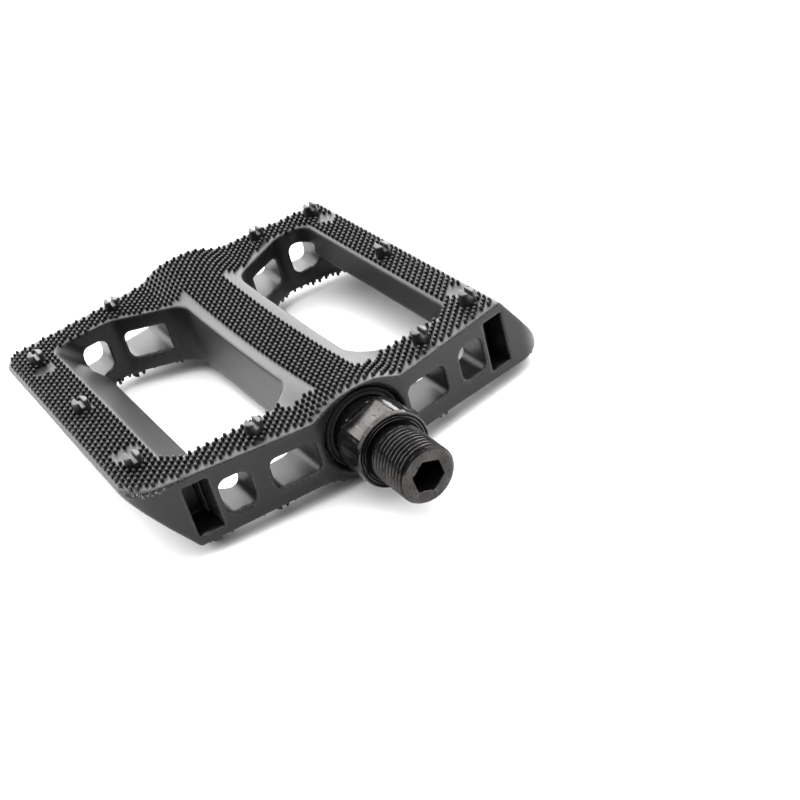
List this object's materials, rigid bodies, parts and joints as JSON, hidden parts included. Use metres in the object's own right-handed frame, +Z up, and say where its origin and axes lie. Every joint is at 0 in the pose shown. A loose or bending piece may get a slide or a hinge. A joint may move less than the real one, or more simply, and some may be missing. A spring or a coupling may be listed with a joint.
{
  "type": "flat pedal",
  "caption": "Flat bicycle pedal: a moulded, studded platform with pins turns on loose balls round a steel spindle with a crank thread, spanner flats and a key socket.",
  "frame": {"origin": "on the spindle's axis, at the flange face that seats against the crank", "axes": "+X along the spindle towards the crank, -Y towards the leading edge, +Z up out of the face the shoe stands on"},
  "size_m": [0.1292, 0.113, 0.027],
  "materials": {
    "platform_nylon": "black glass-filled nylon, satin as moulded",
    "cap_nylon": "black nylon, smooth satin",
    "black_steel": "black-plated steel, glossy",
    "bearing_steel": "bright ground steel, greased",
    "seal_rubber": "black rubber, matt"
  },
  "bodies": {
    "spindle_assembly": {"spindle": "black_steel", "axle_cone": "bearing_steel", "keyed_washer": "bearing_steel", "lock_nut": "bearing_steel"},
    "platform_assembly": {"platform": "platform_nylon", "dust_seal": "seal_rubber", "inboard_cup": "bearing_steel", "outboard_cup": "bearing_steel", "end_cap": "cap_nylon"},
    "inboard_balls": {"inboard_ball_1": "bearing_steel", "inboard_ball_2": "bearing_steel", "inboard_ball_3": "bearing_steel", "inboard_ball_4": "bearing_steel", "inboard_ball_5": "bearing_steel", "inboard_ball_6": "bearing_steel", "inboard_ball_7": "bearing_steel", "inboard_ball_8": "bearing_steel", "inboard_ball_9": "bearing_steel", "inboard_ball_10": "bearing_steel", "inboard_ball_11": "bearing_steel", "inboard_ball_12": "bearing_steel", "inboard_ball_13": "bearing_steel", "inboard_ball_14": "bearing_steel"},
    "outboard_balls": {"outboard_ball_1": "bearing_steel", "outboard_ball_2": "bearing_steel", "outboard_ball_3": "bearing_steel", "outboard_ball_4": "bearing_steel", "outboard_ball_5": "bearing_steel", "outboard_ball_6": "bearing_steel", "outboard_ball_7": "bearing_steel", "outboard_ball_8": "bearing_steel", "outboard_ball_9": "bearing_steel", "outboard_ball_10": "bearing_steel", "outboard_ball_11": "bearing_steel"}
  },
  "joints": [
    {"name": "platform_spin", "type": "hinge", "parent": "spindle_assembly", "child": "platform_assembly", "pos_m": [0, 0, 0], "axis": [1, 0, 0], "continuous": true},
    {"name": "inboard_balls_orbit", "type": "hinge", "parent": "spindle_assembly", "child": "inboard_balls", "pos_m": [-0.019, 0, 0], "axis": [1, 0, 0], "continuous": true},
    {"name": "outboard_balls_orbit", "type": "hinge", "parent": "spindle_assembly", "child": "outboard_balls", "pos_m": [-0.1032, 0, 0], "axis": [1, 0, 0], "continuous": true}
  ],
  "couplings": [
    {"joint": "inboard_balls_orbit", "follows": "platform_spin", "ratio": 0.5738},
    {"joint": "outboard_balls_orbit", "follows": "platform_spin", "ratio": 0.5943}
  ]
}
